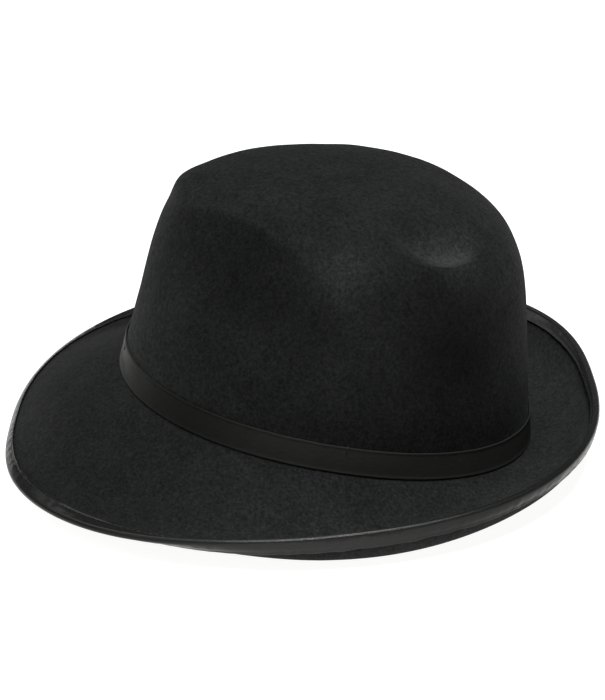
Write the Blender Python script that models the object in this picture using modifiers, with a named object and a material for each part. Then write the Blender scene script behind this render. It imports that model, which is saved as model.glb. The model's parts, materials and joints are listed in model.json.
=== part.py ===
"""A soft felt hat with a tapered, dented crown and a brim that is snapped down in front and rolled up
at the sides and behind.

The shapes are drawn in the hat's own level frame: the front points to -Y, the wearer's left to +X, and the
origin is the centre of the head opening, level with the corner between crown and brim. An empty,
hat_rest, then lays the finished hat on the plane z = 0, where it leans back on its rolled brim.
"""

from math import copysign, cos, pi, radians, sin, tau

import bmesh
import bpy
import numpy as np
from mathutils import Vector

MM = 0.001
UP = Vector((0, 0, 1))
STATIONS = np.radians([0, 45, 90, 135, 180])
ORDERS = np.arange(len(STATIONS))


def round_the_hat(front, front_side, side, back_side, back):
    """A value that changes smoothly round the hat, the same on the left and on the right."""
    values = (front, front_side, side, back_side, back)
    weights = np.linalg.solve(np.cos(np.outer(STATIONS, ORDERS)), values)
    return lambda turn: float(weights @ np.cos(ORDERS * turn))


# Head oval: the outer line of the corner between crown and brim
HALF_LENGTH = 102.3 * MM
HALF_WIDTH = 85.0 * MM
OVAL_POWER = 2.15

# Felt
FELT = 2.0 * MM
GAP = 0.3 * MM

# Crown
CROWN_HEIGHT = 116.6 * MM
CROWN_ROUNDNESS = 2.4
CROWN_SQUARENESS = round_the_hat(11.0, 8.4, 9.7, 10.1, 10.5)
CROWN_TAPER = round_the_hat(0.085, 0.081, 0.08, 0.182, 0.284)
CROWN_FALL = 0.029
CROWN_DOME = 0.066

# Brim: width along the felt, slopes in degrees where it leaves the crown and at its edge, and how
# late the roll starts (1 rolls evenly all the way)
BRIM_WIDTH = round_the_hat(69 * MM, 67.8 * MM, 68.2 * MM, 56.8 * MM, 44.3 * MM)
ROOT_SLOPE = round_the_hat(-33, -34, -34, -20, 0)
EDGE_SLOPE = round_the_hat(-62, 2, 104, 83, 104)
ROLL_POWER = round_the_hat(1.35, 2.9, 3.05, 1.25, 1.0)

# Brim edge: a wire along the felt's edge, inside a folded ribbon
WIRE_RADIUS = 0.6 * MM
WIRE_REACH = 0.9 * MM
BINDING_WIDTH = 4.8 * MM
BINDING_THICKNESS = 0.4 * MM
BINDING_NOSE = 0.5 * MM
THREAD_RADIUS = 0.25 * MM

# Hat band
BAND_BOTTOM = 0.9 * MM
BAND_TOP = 13.6 * MM
BAND_THICKNESS = 0.5 * MM
LAP = (radians(252), radians(288))
TACK_TURNS = {"front": radians(7), "left": radians(93), "back": radians(187), "right": radians(310)}
TACK_BELOW = 4.0 * MM
TACK_BEND = 1.0 * MM
TACK_ABOVE = 1.5 * MM

# Inside of the crown; an inset is measured inwards from the crown's outer face
CLOTH = 0.4 * MM
SWEATBAND_THICKNESS = 1.0 * MM
SWEATBAND_INSET = 3.5 * MM
SWEATBAND_TOP = 33.0 * MM
SWEATBAND_HEM = ((3.7, -0.9), (4.6, -0.75), (5.3, -0.1), (5.4, 1.1), (4.9, 2.6), (4.1, 4.6), (3.5, 7.5))
REED_RADIUS = 0.7 * MM
REED_INSET = 3.75 * MM
REED_HEIGHT = 1.0 * MM
STITCH_HEIGHT = 9.5 * MM
TAPE_BOTTOM = -0.6 * MM
TAPE_TOP = 5.0 * MM
LINING_BOTTOM = 5.4 * MM
LINING_STRAIGHT = 36.0 * MM
LINING_TOP = 66.0 * MM
LINING_TOP_INSET = 10.0 * MM
PIPING_RADIUS = 0.7 * MM
TIP_RISE = 9.0 * MM
TIP_MARGIN = 1.0 * MM
TIP_STEP = 2.0 * MM

# Small pieces at the back and on the right, inside: half sizes in mm, heights and stand-off
JOINT_TAPE = (5.0, 9.5)
JOINT_TAPE_HEIGHT = 21.0 * MM
BOW_LOOP = (8.0, 3.5)
BOW_KNOT = (1.6, 1.4)
BOW_THICKNESS = 1.2 * MM
BOW_HEIGHT = 18.0 * MM
TAB = (9.0, 8.0)
TAB_HEIGHT = 27.0 * MM
TAB_TURN = radians(270)
TRIM_CLEARANCE = 0.3 * MM

# How finely the shapes are divided
COLUMNS = 48
BRIM_ROWS = 6
EDGE_ROWS = 3
CROWN_ROWS = 13
STEPS_PER_ROW = 8
FINE_STEPS = 90
TURNS = [tau * (column + 0.5) / COLUMNS for column in range(COLUMNS)]

# Dents in the crown. Each has a crisp lip, eases down to its floor and fades out beyond it. In turn: the
# middle of the lip, the push, the way along the lip with the floor on its left as the push points down,
# and in mm its half length, the ease, the fade, the bend of the lip and the depth
DENTS = {
    "left_pinch": ((47, -56, 100), (-0.7, 0.7, -0.1), (-0.7, -0.7, 0.0), 60, 14, 50, -18, 8.0),
    "right_pinch": ((-47, -56, 100), (0.7, 0.7, -0.1), (-0.7, 0.7, 0.0), 60, 14, 50, -18, 8.0),
    "front_edge": ((0, -73, 105), (0, -0.7, 0.7), (1, 0, 0), 34, 17, 13, 0, 3.4),
    "back_dent": ((59, 41, 101), (-0.35, -0.28, -0.89), (-0.67, 0.74, 0.0), 30, 9, 17, -12, 7.0),
    "side_belly": ((70, -10, 104), (1, 0, 0), (0, 1, 0), 30, 26, 44, 0, 3.2),
}
DENT_REACH = 38.0

COLLECTIONS = {}


def clear_scene():
    for thing in list(bpy.data.objects):
        bpy.data.objects.remove(thing)


def finish(name, colour, roughness, metallic=0.0):
    material = bpy.data.materials.new(name)
    material.use_nodes = True
    shader = material.node_tree.nodes["Principled BSDF"]
    shader.inputs["Base Color"].default_value = (*colour, 1)
    shader.inputs["Roughness"].default_value = roughness
    shader.inputs["Metallic"].default_value = metallic
    return material


def place(thing, material):
    thing.data.materials.append(material)
    COLLECTIONS["hat"].objects.link(thing)
    thing.parent = COLLECTIONS["rest"]
    return thing


def sheet(name, columns, material, thickness, offset=0.0, closed=True, pole=None):
    """A shell: columns of points side by side, joined into a surface that Solidify thickens."""
    shape = bmesh.new()
    rows = [[shape.verts.new(point) for point in column] for column in columns]
    pairs = list(zip(rows, rows[1:]))
    if closed:
        pairs.append((rows[-1], rows[0]))
    for left, right in pairs:
        for low in range(len(left) - 1):
            shape.faces.new((left[low], right[low], right[low + 1], left[low + 1]))
    if pole is not None:
        middle = shape.verts.new(pole)
        for left, right in pairs:
            shape.faces.new((left[-1], right[-1], middle))
    mesh = bpy.data.meshes.new(name)
    shape.to_mesh(mesh)
    shape.free()
    mesh.shade_smooth()
    thing = bpy.data.objects.new(name, mesh)
    thickener = thing.modifiers.new("thickness", "SOLIDIFY")
    thickener.thickness = thickness
    thickener.offset = offset
    thickener.use_even_offset = True
    return place(thing, material)


def tube(name, points, radius, material, closed=True, detail=1):
    """A round wire, thread or cord along a line of points."""
    curve = bpy.data.curves.new(name, "CURVE")
    curve.dimensions = "3D"
    curve.bevel_depth = radius
    curve.bevel_resolution = detail
    curve.use_fill_caps = not closed
    line = curve.splines.new("POLY")
    line.points.add(len(points) - 1)
    for knot, point in zip(line.points, points):
        knot.co = (*point, 1)
    line.use_cyclic_u = closed
    return place(bpy.data.objects.new(name, curve), material)


def flat_piece(name, outline, thickness, centre, facing, material):
    """A flat outline standing upright at a place, square to the way it faces."""
    curve = bpy.data.curves.new(name, "CURVE")
    curve.dimensions = "2D"
    curve.fill_mode = "BOTH"
    curve.extrude = thickness / 2
    line = curve.splines.new("POLY")
    line.points.add(len(outline) - 1)
    for knot, (across, height) in zip(line.points, outline):
        knot.co = (across * MM, height * MM, 0, 1)
    line.use_cyclic_u = True
    thing = place(bpy.data.objects.new(name, curve), material)
    thing.location = centre
    thing.rotation_euler = facing.to_track_quat("Z", "Y").to_euler()
    return thing


def head_oval(turn):
    """A point of the head oval and its outward direction; a turn runs from the front over the left."""
    power = OVAL_POWER
    along = abs(cos(turn) / HALF_LENGTH) ** power
    across = abs(sin(turn) / HALF_WIDTH) ** power
    reach = (along + across) ** (-1 / power)
    point = Vector((reach * sin(turn), -reach * cos(turn), 0))
    slope_x = copysign(abs(point.x) ** (power - 1), point.x) / HALF_WIDTH**power
    slope_y = copysign(abs(point.y) ** (power - 1), point.y) / HALF_LENGTH**power
    return point, Vector((slope_x, slope_y, 0)).normalized()


def brim_line(turn):
    """The brim's upper face at one turn, corner to edge: each point, the way along and the way up."""
    corner, outward = head_oval(turn)
    width = BRIM_WIDTH(turn)
    root = radians(ROOT_SLOPE(turn))
    edge = radians(EDGE_SLOPE(turn))
    power = ROLL_POWER(turn)

    def slope_at(distance):
        return root + (edge - root) * (distance / width) ** power

    plain = width - BINDING_WIDTH
    distances = [plain * row / BRIM_ROWS for row in range(BRIM_ROWS + 1)]
    distances += [plain + BINDING_WIDTH * row / EDGE_ROWS for row in range(1, EDGE_ROWS + 1)]
    line = []
    point = corner.copy()
    before = 0.0
    for distance in distances:
        step = (distance - before) / STEPS_PER_ROW
        for number in range(STEPS_PER_ROW):
            slope = slope_at(before + step * (number + 0.5))
            point = point + (outward * cos(slope) + UP * sin(slope)) * step
        before = distance
        slope = slope_at(distance)
        along = outward * cos(slope) + UP * sin(slope)
        line.append((point, along, UP * cos(slope) - outward * sin(slope)))
    return line


def crown_point(turn, rise, reach):
    """A point of the crown's outer face from its share of the height and of the plan reach."""
    corner = head_oval(turn)[0]
    reach = reach * (1 - CROWN_TAPER(turn) * rise)
    forward = -corner.y * reach / HALF_LENGTH
    height = CROWN_HEIGHT * rise * (1 - (CROWN_FALL + CROWN_DOME * forward) * forward * rise)
    return Vector((corner.x * reach, corner.y * reach, height))


def crown_line(turn):
    """The crown's outer face at one turn, as evenly spaced points from the corner to the top."""
    fine = []
    for step in range(FINE_STEPS + 1):
        angle = pi / 2 * step / FINE_STEPS
        rise = sin(angle) ** (2 / CROWN_SQUARENESS(turn))
        reach = max(cos(angle), 0.0) ** (2 / CROWN_ROUNDNESS)
        fine.append(crown_point(turn, rise, reach))
    lengths = np.cumsum([0.0] + [(b - a).length for a, b in zip(fine, fine[1:])])
    wanted = np.linspace(0, lengths[-1], CROWN_ROWS + 1)
    axes = [np.interp(wanted, lengths, [point[axis] for point in fine]) for axis in range(3)]
    return [Vector(point) for point in zip(*axes)]


def wall_point(turn, height, inset=0.0):
    """A point at a height on the crown's wall, moved in from its outer face, and the way out."""
    corner, outward = head_oval(turn)

    def on_face(level):
        rise = level / CROWN_HEIGHT
        for _ in range(4):
            forward = -corner.y * (1 - CROWN_TAPER(turn) * rise) / HALF_LENGTH
            rise = level / CROWN_HEIGHT / (1 - (CROWN_FALL + CROWN_DOME * forward) * forward * rise)
        reach = (1 - max(rise, 0.0) ** CROWN_SQUARENESS(turn)) ** (1 / CROWN_ROUNDNESS)
        return crown_point(turn, rise, reach)

    step = 1.0 * MM
    climb = on_face(height + step) - on_face(height - step)
    away = (outward * climb.z - UP * climb.dot(outward)).normalized()
    return on_face(height) - away * inset, away


def smooth(share):
    share = min(max(share, 0.0), 1.0)
    return share * share * (3 - 2 * share)


def pressed(point):
    """A crown point moved by the dents, each worked out on the crown as it was blocked."""
    moved = point.copy()
    for lip, push, along, half_length, ease, fade, bend, depth in DENTS.values():
        push = Vector(push).normalized()
        along = Vector(along)
        along = (along - push * along.dot(push)).normalized()
        offset = point / MM - Vector(lip)
        lengthwise = offset.dot(along) / half_length
        from_lip = offset.dot(along.cross(push)) + bend * lengthwise**2
        if abs(offset.dot(push)) > DENT_REACH or abs(lengthwise) > 1:
            continue
        down = min(max(from_lip / ease, 0.0), 1.0)
        floor = down * (2 - down) * (1 - smooth((from_lip - ease) / fade))
        moved += push * depth * MM * floor * (1 - lengthwise**2) ** 2
    return moved


def make_felt_body(felt):
    """Crown and brim blocked from one felt hood."""
    columns = []
    for turn in TURNS:
        brim = [point for point, _, _ in reversed(brim_line(turn))]
        crown = [pressed(point) for point in crown_line(turn)]
        columns.append(brim + crown[1:-1])
    top = pressed(Vector((0, 0, CROWN_HEIGHT)))
    return sheet("felt_body", columns, felt, FELT, offset=-1.0, pole=top)


def make_brim_edge(steel, ribbon, thread):
    """The wire at the felt's edge, the folded ribbon round both, and the stitches that hold it."""
    upper = GAP + BINDING_THICKNESS / 2
    lower = -FELT - upper
    radius = (upper - lower) / 2
    middle = (upper + lower) / 2
    wire, fold, stitches = [], [], []
    for turn in TURNS:
        line = brim_line(turn)[-EDGE_ROWS - 1 :]
        edge, along, up = line[-1]
        wire.append(edge + along * WIRE_REACH + up * middle)
        top = [point + rise * upper for point, _, rise in line]
        under = [point + rise * lower for point, _, rise in reversed(line)]
        nose = []
        for angle in (60, 20, -20, -60):
            reach = BINDING_NOSE + radius * cos(radians(angle))
            nose.append(edge + along * reach + up * (middle + radius * sin(radians(angle))))
        fold.append(top + nose + under)
        start, _, rise = line[0]
        clear = upper + BINDING_THICKNESS / 2 + GAP + THREAD_RADIUS
        stitches.append(start.lerp(line[1][0], 0.5) + rise * clear)
    tube("brim_wire", wire, WIRE_RADIUS, steel)
    sheet("brim_binding", fold, ribbon, BINDING_THICKNESS)
    tube("binding_stitching", stitches, THREAD_RADIUS, thread)


def make_hat_band(ribbon, thread):
    """The ribbon round the foot of the crown, the lapped end that closes it, and its holding stitches."""
    inset = -(GAP + BAND_THICKNESS / 2)
    heights = (BAND_BOTTOM, (BAND_BOTTOM + BAND_TOP) / 2, BAND_TOP)
    columns = [[wall_point(turn, height, inset)[0] for height in heights] for turn in TURNS]
    sheet("hat_band", columns, ribbon, BAND_THICKNESS)
    lap_inset = inset - BAND_THICKNESS - GAP
    lap_turns = [turn for turn in TURNS if LAP[0] < turn < LAP[1]]
    columns = [[wall_point(turn, height, lap_inset)[0] for height in heights] for turn in lap_turns]
    sheet("band_overlap", columns, ribbon, BAND_THICKNESS, closed=False)
    clear = -(GAP + BAND_THICKNESS + GAP + THREAD_RADIUS)
    close = -(GAP + THREAD_RADIUS) * 1.6
    for side, turn in TACK_TURNS.items():
        points = [
            wall_point(turn, BAND_TOP - TACK_BELOW, clear)[0],
            wall_point(turn, BAND_TOP - TACK_BEND, clear)[0],
            wall_point(turn, BAND_TOP + TACK_ABOVE, close)[0],
        ]
        tube(f"band_tack_{side}", points, THREAD_RADIUS, thread, closed=False)


def make_sweatband(leather, plastic, ribbon, thread):
    """The band that meets the head: a strip hemmed round a plastic reed and sewn in over a tape."""
    hem = [(inset * MM, height * MM) for inset, height in SWEATBAND_HEM]
    section = hem + [(SWEATBAND_INSET, 20 * MM), (SWEATBAND_INSET, SWEATBAND_TOP)]
    columns = [[wall_point(turn, height, inset)[0] for inset, height in section] for turn in TURNS]
    sheet("sweatband", columns, leather, SWEATBAND_THICKNESS)
    reed = [wall_point(turn, REED_HEIGHT, REED_INSET)[0] for turn in TURNS]
    tube("sweatband_reed", reed, REED_RADIUS, plastic)
    tape_inset = FELT + GAP + CLOTH / 2
    edges = (TAPE_BOTTOM, TAPE_TOP)
    columns = [[wall_point(turn, height, tape_inset)[0] for height in edges] for turn in TURNS]
    sheet("reed_tape", columns, ribbon, CLOTH)
    face = SWEATBAND_INSET + SWEATBAND_THICKNESS / 2
    stitches = [wall_point(turn, STITCH_HEIGHT, face + GAP + THREAD_RADIUS)[0] for turn in TURNS]
    tube("sweatband_stitching", stitches, THREAD_RADIUS, thread)


def rectangle(half_width, half_height):
    return [
        (-half_width, -half_height),
        (half_width, -half_height),
        (half_width, half_height),
        (-half_width, half_height),
    ]


def make_back_trim(ribbon, cloth):
    """The tape over the sweatband's joint and the small bow at the back, and the size tab on the right."""
    face = SWEATBAND_INSET + SWEATBAND_THICKNESS / 2
    inset = face + GAP + CLOTH / 2 + 0.1 * MM
    centre, outward = wall_point(pi, JOINT_TAPE_HEIGHT, inset)
    flat_piece("sweatband_joint_tape", rectangle(*JOINT_TAPE), CLOTH, centre, outward, ribbon)
    loop, tall = BOW_LOOP
    knot, waist = BOW_KNOT
    lower = [(-loop, -tall), (-knot, -waist), (knot, -waist), (loop, -tall)]
    upper = [(across, -height) for across, height in reversed(lower)]
    inset = face + 2 * GAP + CLOTH + BOW_THICKNESS / 2 + TRIM_CLEARANCE
    centre, outward = wall_point(pi, BOW_HEIGHT, inset)
    flat_piece("sweatband_bow", lower + upper, BOW_THICKNESS, centre, outward, ribbon)
    inset = face + GAP + CLOTH / 2 + 0.5 * MM
    centre, outward = wall_point(TAB_TURN, TAB_HEIGHT, inset)
    flat_piece("size_tab", rectangle(*TAB), CLOTH, centre, outward, cloth)


def make_lining(satin):
    """The satin lining: its side, the oval tip that closes it, and the piping in the seam between them."""
    start = FELT + GAP + CLOTH / 2

    def inset_at(height):
        share = max(height - LINING_STRAIGHT, 0.0) / (LINING_TOP - LINING_STRAIGHT)
        return start + (LINING_TOP_INSET - start) * share**1.5

    middle = (LINING_BOTTOM + LINING_STRAIGHT) / 2
    heights = [LINING_BOTTOM, middle, *np.linspace(LINING_STRAIGHT, LINING_TOP, 4)]
    columns = [[wall_point(turn, height, inset_at(height))[0] for height in heights] for turn in TURNS]
    sheet("lining_side", columns, satin, CLOTH)
    seam = [wall_point(turn, LINING_TOP, LINING_TOP_INSET)[0] for turn in TURNS]
    clear = CLOTH / 2 + GAP + PIPING_RADIUS
    tube("lining_piping", [point + UP * (clear + 0.4 * MM) for point in seam], PIPING_RADIUS, satin)
    columns = []
    peak = Vector((0, 0, LINING_TOP + TIP_RISE))
    for turn, point in zip(TURNS, seam):
        inner = point - head_oval(turn)[1] * (PIPING_RADIUS + GAP + TIP_MARGIN) + UP * TIP_STEP
        rows = []
        for reach in (1.0, 0.82, 0.6, 0.32):
            level = inner.z + (peak.z - inner.z) * (1 - reach**2)
            rows.append(Vector((inner.x * reach, inner.y * reach, level)))
        columns.append(rows)
    sheet("lining_tip", columns, satin, CLOTH, pole=peak)


def lay_down():
    """Lean the hat back until its brim meets the plane z = 0 in front and behind, and centre it there."""
    bpy.context.view_layer.update()
    graph = bpy.context.evaluated_depsgraph_get()
    clouds = []
    for thing in COLLECTIONS["hat"].objects:
        shape = thing.evaluated_get(graph)
        mesh = shape.to_mesh()
        points = np.empty(len(mesh.vertices) * 3)
        mesh.vertices.foreach_get("co", points)
        matrix = np.array(shape.matrix_world)
        clouds.append(points.reshape(-1, 3) @ matrix[:3, :3].T + matrix[:3, 3])
        shape.to_mesh_clear()
    cloud = np.concatenate(clouds)

    def leaned(lean):
        y = cloud[:, 1] * cos(lean) + cloud[:, 2] * sin(lean)
        z = cloud[:, 2] * cos(lean) - cloud[:, 1] * sin(lean)
        return y, z

    low, high = 0.0, radians(30)
    for _ in range(50):
        lean = (low + high) / 2
        z = leaned(lean)[1]
        ahead = cloud[:, 1] < 0
        if z[ahead].min() < z[~ahead].min():
            low = lean
        else:
            high = lean
    y, z = leaned(lean)
    rest = COLLECTIONS["rest"]
    rest.rotation_euler = (-lean, 0, 0)
    rest.location = (0, -(y.min() + y.max()) / 2, -z.min())


def main():
    clear_scene()
    COLLECTIONS["hat"] = bpy.data.collections.new("soft_felt_hat")
    bpy.context.scene.collection.children.link(COLLECTIONS["hat"])
    COLLECTIONS["rest"] = bpy.data.objects.new("hat_rest", None)
    bpy.context.scene.collection.objects.link(COLLECTIONS["rest"])
    make_felt_body(finish("felt", (0.013, 0.013, 0.013), 0.95))
    black_ribbon = finish("ribbon", (0.012, 0.012, 0.011), 0.42)
    black_thread = finish("thread", (0.01, 0.01, 0.01), 0.6)
    make_brim_edge(finish("wire", (0.45, 0.45, 0.45), 0.35, 1.0), black_ribbon, black_thread)
    make_hat_band(black_ribbon, black_thread)
    make_sweatband(
        finish("sweatband", (0.02, 0.018, 0.016), 0.5),
        finish("reed", (0.5, 0.5, 0.48), 0.4),
        finish("tape", (0.015, 0.015, 0.015), 0.7),
        black_thread,
    )
    make_back_trim(black_ribbon, finish("tab", (0.6, 0.6, 0.58), 0.8))
    make_lining(finish("lining", (0.016, 0.016, 0.018), 0.35))
    lay_down()


main()
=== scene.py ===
"""The soft felt hat as it looks: felt, satin ribbons, stitches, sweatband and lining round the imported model.

Shapes are worked out in the hat's own level frame (front to -Y, the wearer's left to +X, origin in the middle
of the head opening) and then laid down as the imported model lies. A turn runs round the hat from the front
over the wearer's left.
"""

import json
from math import cos, pi, radians, sin, tau

import bmesh
import bpy
import numpy as np
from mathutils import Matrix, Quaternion, Vector, noise


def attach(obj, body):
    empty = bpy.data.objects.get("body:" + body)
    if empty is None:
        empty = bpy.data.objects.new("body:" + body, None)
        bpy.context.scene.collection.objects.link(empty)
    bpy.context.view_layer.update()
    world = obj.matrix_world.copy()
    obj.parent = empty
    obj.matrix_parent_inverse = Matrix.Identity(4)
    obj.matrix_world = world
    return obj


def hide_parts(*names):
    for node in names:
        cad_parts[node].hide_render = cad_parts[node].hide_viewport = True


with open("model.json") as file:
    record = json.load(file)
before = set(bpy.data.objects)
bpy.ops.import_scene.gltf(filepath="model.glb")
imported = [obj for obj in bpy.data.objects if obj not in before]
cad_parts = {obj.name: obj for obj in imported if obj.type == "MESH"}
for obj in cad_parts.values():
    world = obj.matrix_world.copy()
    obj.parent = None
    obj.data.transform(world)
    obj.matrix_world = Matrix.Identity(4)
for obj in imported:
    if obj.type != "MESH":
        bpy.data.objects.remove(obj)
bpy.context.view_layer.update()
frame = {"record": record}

MM = 0.001
HEAD = frame["record"]["mounts"][0]
ORIGIN = np.array(HEAD["pos_m"])
UP = -np.array(HEAD["axis"]) / np.linalg.norm(HEAD["axis"])
LEFT = np.array([1.0, 0.0, 0.0])
BACK = np.cross(UP, LEFT)

STATIONS = np.radians([0, 45, 90, 135, 180])
ORDERS = np.arange(len(STATIONS))


def round_the_hat(front, front_side, side, back_side, back):
    """A value that changes smoothly round the hat, the same on the left and on the right."""
    values = (front, front_side, side, back_side, back)
    weights = np.linalg.solve(np.cos(np.outer(STATIONS, ORDERS)), values)
    return lambda turns: np.cos(np.multiply.outer(turns, ORDERS)) @ weights


# Head oval, felt, crown and brim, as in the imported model
HALF_LENGTH = 102.3 * MM
HALF_WIDTH = 85.0 * MM
OVAL_POWER = 2.15
FELT = 2.0 * MM
GAP = 0.3 * MM
CROWN_HEIGHT = 116.6 * MM
CROWN_ROUNDNESS = 2.4
CROWN_SQUARENESS = round_the_hat(11.0, 8.4, 9.7, 10.1, 10.5)
CROWN_TAPER = round_the_hat(0.085, 0.081, 0.08, 0.182, 0.284)
CROWN_FALL = 0.029
CROWN_DOME = 0.066
BRIM_WIDTH = round_the_hat(69 * MM, 67.8 * MM, 68.2 * MM, 56.8 * MM, 44.3 * MM)
ROOT_SLOPE = round_the_hat(-33, -34, -34, -20, 0)
EDGE_SLOPE = round_the_hat(-62, 2, 104, 83, 104)
ROLL_POWER = round_the_hat(1.35, 2.9, 3.05, 1.25, 1.0)

# Dents in the crown. Each has a crisp lip, eases down to its floor and fades out beyond it. The values are
# the middle of the lip in mm, the push, the way along the lip with the floor on its left as the push points
# down, and in mm the half length, the ease, the fade, the bend of the lip over its half length, and the depth
DENTS = {
    "left_pinch": ((47, -56, 100), (-0.7, 0.7, -0.1), (-0.7, -0.7, 0.0), 60, 14, 50, -18, 8.0),
    "right_pinch": ((-47, -56, 100), (0.7, 0.7, -0.1), (-0.7, 0.7, 0.0), 60, 14, 50, -18, 8.0),
    "front_edge": ((0, -73, 105), (0, -0.7, 0.7), (1, 0, 0), 34, 17, 13, 0, 3.4),
    "back_dent": ((59, 41, 101), (-0.35, -0.28, -0.89), (-0.67, 0.74, 0.0), 30, 9, 17, -12, 7.0),
    "hook_crease": ((56, 9, 110), (-0.3, 0.1, -0.95), (0.76, 0.58, -0.3), 16, 5, 8, 0, 1.6),
    "side_belly": ((70, -10, 104), (1, 0, 0), (0, 1, 0), 30, 26, 44, 0, 3.2),
}
DENT_REACH = 38 * MM

# How much lighter or darker a dent's floor is painted (painted highlight on the back dent, painted shade under
# the pinches), how many times crisper its edge is than the dent's, and how many times longer the painted patch
# is
DENT_PAINTED_LIGHT = {
    "left_pinch": (-0.3, 3.0, 1.3),
    "right_pinch": (-0.3, 3.0, 1.3),
    "back_dent": (1.6, 1.3, 1.0),
}

# Where the crown's colour is painted lighter (painted highlight) or darker (painted shade): the place and the
# reach in mm, and the change
PAINTED_LIGHT_SPOTS = (
    ((55, -60, 66), 34, -0.2),
    ((72, 48, 62), 34, -0.55),
    ((84, 4, 50), 26, 0.25),
    ((74, -12, 94), 15, 0.6),
    ((54, 36, 104), 12, 0.8),
    ((0, 0, 116), 60, 0.1),
)

# Brim edge
WIRE_RADIUS = 0.6 * MM
WIRE_REACH = 0.9 * MM
BINDING_WIDTH = 4.8 * MM
BINDING_THICKNESS = 0.4 * MM
BINDING_NOSE = 0.5 * MM
# Painted shade on the binding's colour and shine except round the sides and the back, and a painted highlight
# on its upper face toward the back
BINDING_PAINTED_SHADE = 0.45
BINDING_PAINTED_HIGHLIGHT = 2.2
THREAD_RADIUS = 0.16 * MM
BINDING_STITCH = 2.3 * MM
BINDING_STITCH_GAP = 0.7 * MM
BINDING_STITCH_INSET = 1.15 * MM

# Hat band
BAND_BOTTOM = 0.4 * MM
BAND_TOP = 13.6 * MM
BAND_THICKNESS = 0.5 * MM
# Painted shade: the band's colour and shine are painted darker round a place on either side of the front
BAND_PAINTED_SHADE = 0.6
BAND_PAINTED_SHADE_MIDDLE = 42
BAND_PAINTED_SHADE_REACH = 26
LAP_TURNS = (255, 285)
TACK_TURNS = {"front": 7, "left": 93, "back": 187, "right": 310}
TACK_LEVELS = np.array([-3.5, -2.0, -0.5, 0.8]) * MM
TACK_LIFTS = np.array([1.1, 1.35, 1.35, 0.75]) * MM

# Inside of the crown
CLOTH = 0.4 * MM
SWEATBAND_THICKNESS = 1.0 * MM
SWEATBAND_INSET = 3.5 * MM
SWEATBAND_TOP = 33.0 * MM
SWEATBAND_HEM = ((3.7, -0.9), (4.6, -0.75), (5.3, -0.1), (5.4, 1.1), (4.9, 2.6), (4.1, 4.6), (3.5, 7.5))
REED_RADIUS = 0.7 * MM
REED_INSET = 3.75 * MM
REED_HEIGHT = 1.0 * MM
STITCH_HEIGHT = 9.5 * MM
SWEATBAND_STITCH = 2.6 * MM
SWEATBAND_STITCH_GAP = 0.9 * MM
SWEATBAND_THREAD = 0.2 * MM
SWEATBAND_SWAY = 0.35 * MM
SWEATBAND_SWAY_FROM = 16.0 * MM
TAPE_BOTTOM = -0.6 * MM
TAPE_TOP = 5.0 * MM
LINING_BOTTOM = 5.4 * MM
LINING_TOP = 66.0 * MM
LINING_TOP_INSET = 10.0 * MM
LINING_STRAIGHT = 30.0 * MM
LINING_FOLD = 0.9 * MM
LINING_SWELL = 0.8 * MM
PIPING_RADIUS = 0.7 * MM
PIPING_LIFT = 0.4 * MM
TIP_MARGIN = 1.0 * MM
TIP_STEP = 2.0 * MM
TIP_RISE = 9.0 * MM
TIP_PUCKER = 0.35 * MM
TIP_SAG = 0.5 * MM
JOINT_TAPE_WIDTH = 10.0 * MM
JOINT_TAPE = (11.5 * MM, 30.5 * MM)
TAB_WIDTH = 18.0 * MM
TAB = (19.0 * MM, 35.0 * MM)
TAB_STANDOFF = 1.1 * MM
BOW_HEIGHT = 18.0 * MM
BOW_STANDOFF = 2.2 * MM
BOW_LOOP = 9.0 * MM
BOW_OPEN = 0.75 * MM
BOW_HALF_THICKNESS = 0.18 * MM

# How finely each piece is divided round the hat
FELT_COLUMNS = 336
BRIM_ROWS = 56
CROWN_ROWS = 108
BINDING_COLUMNS = 720
THREAD_COLUMNS = 900
BAND_COLUMNS = 540
LAP_COLUMNS = 60
LINING_COLUMNS = 480
TUBE_COLUMNS = 360

# Camera
VIEW_AZIMUTH = 88.15
VIEW_ELEVATION = 24.2
VIEW_ROLL = 0.13
VIEW_DISTANCE = 1.02
VIEW_TARGET = Vector((0, 0.0128, 0.06165))
LENS = 107.7
SENSOR = 36.0
SHIFT = (-0.0345, -0.0477)


# ---------------------------------------------------------------- shapes of the hat


def along_ring(count):
    return tau * (np.arange(count) + 0.5) / count


def degrees_from_front(turns):
    """How far round each turn is from the front, 0 to 180 on either side, as a column."""
    return np.degrees(np.abs((turns + pi) % tau - pi))[:, None]


def head_oval(turns):
    """Points of the head oval and their outward directions."""
    power = OVAL_POWER
    along = np.abs(np.cos(turns) / HALF_LENGTH) ** power
    across = np.abs(np.sin(turns) / HALF_WIDTH) ** power
    reach = (along + across) ** (-1 / power)
    points = np.stack([reach * np.sin(turns), -reach * np.cos(turns), 0 * turns], -1)
    slope_x = np.sign(points[..., 0]) * np.abs(points[..., 0]) ** (power - 1) / HALF_WIDTH**power
    slope_y = np.sign(points[..., 1]) * np.abs(points[..., 1]) ** (power - 1) / HALF_LENGTH**power
    outward = np.stack([slope_x, slope_y, 0 * turns], -1)
    return points, outward / np.linalg.norm(outward, axis=-1, keepdims=True)


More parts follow.
